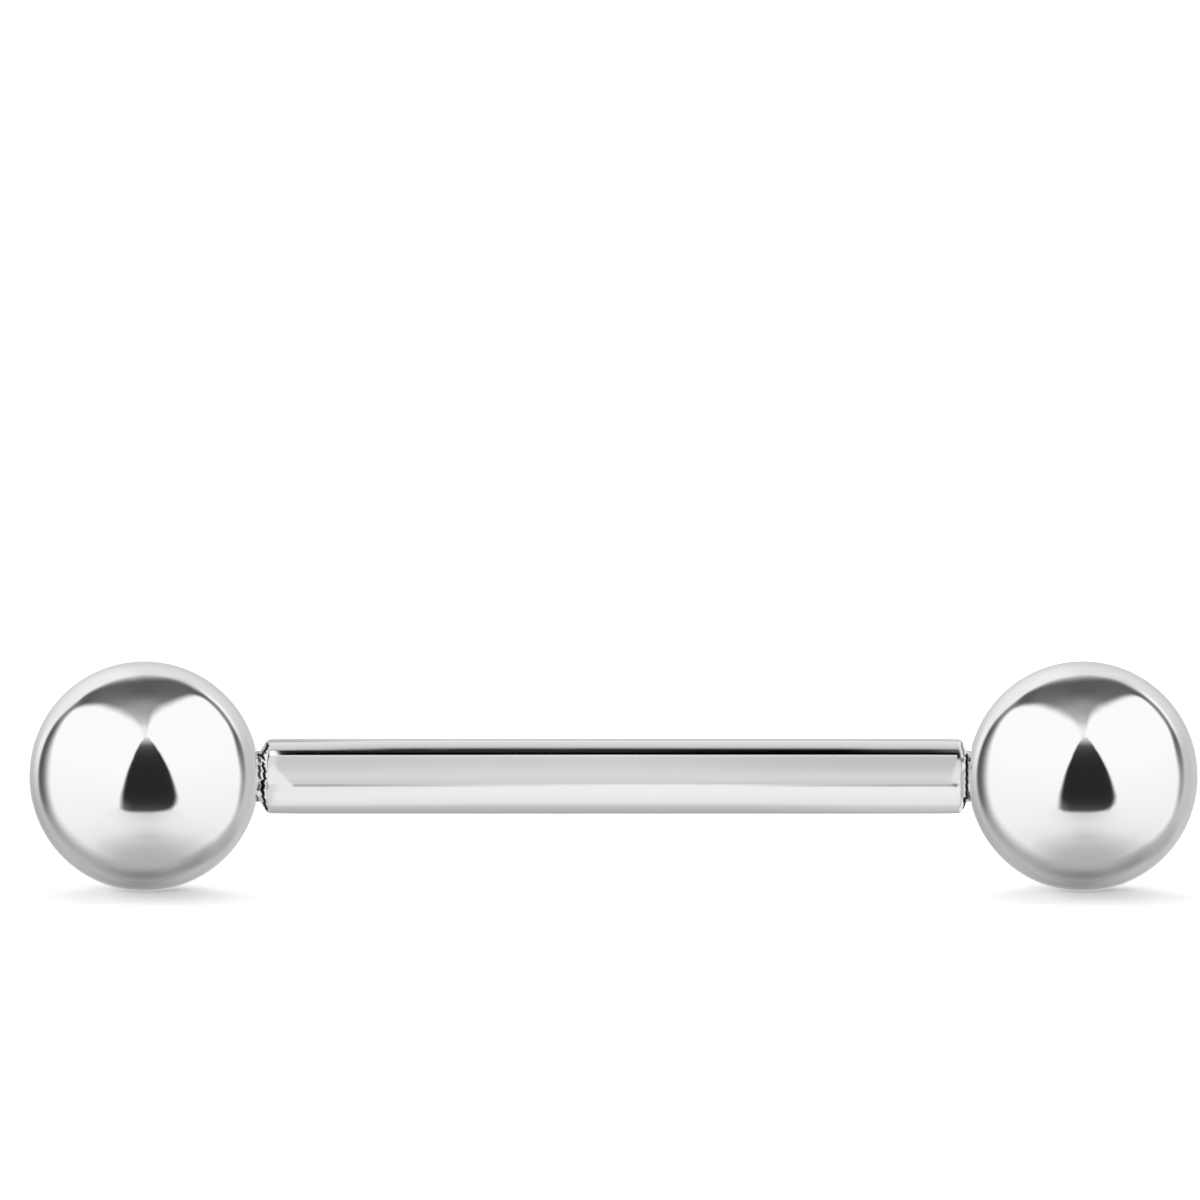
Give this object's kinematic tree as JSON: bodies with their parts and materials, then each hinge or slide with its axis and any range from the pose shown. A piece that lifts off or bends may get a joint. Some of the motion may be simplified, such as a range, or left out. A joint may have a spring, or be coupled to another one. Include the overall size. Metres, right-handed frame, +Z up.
{
  "type": "nipple barbell",
  "caption": "Straight barbell for a nipple piercing: a polished steel bar with threaded ends and a round ball screwed onto each end.",
  "frame": {"origin": "on the surface that the barbell lies on, under the middle of the bar", "axes": "+X along the bar towards the right ball, +Y away from the viewer, +Z up from the surface"},
  "size_m": [0.0254, 0.005, 0.005],
  "materials": {
    "bar_steel": "mirror-polished surgical steel, with fine marks along the shaft",
    "ball_steel": "mirror-polished surgical steel"
  },
  "bodies": {
    "bar": {"bar": "bar_steel"},
    "ball_left": {"ball_left": "ball_steel"},
    "ball_right": {"ball_right": "ball_steel"}
  },
  "joints": [
    {"name": "ball_left_unscrew", "type": "slide", "parent": "bar", "child": "ball_left", "axis": [-1, 0, 0], "range_m": [0, 0.0021]},
    {"name": "ball_right_unscrew", "type": "slide", "parent": "bar", "child": "ball_right", "axis": [1, 0, 0], "range_m": [0, 0.0021]}
  ]
}
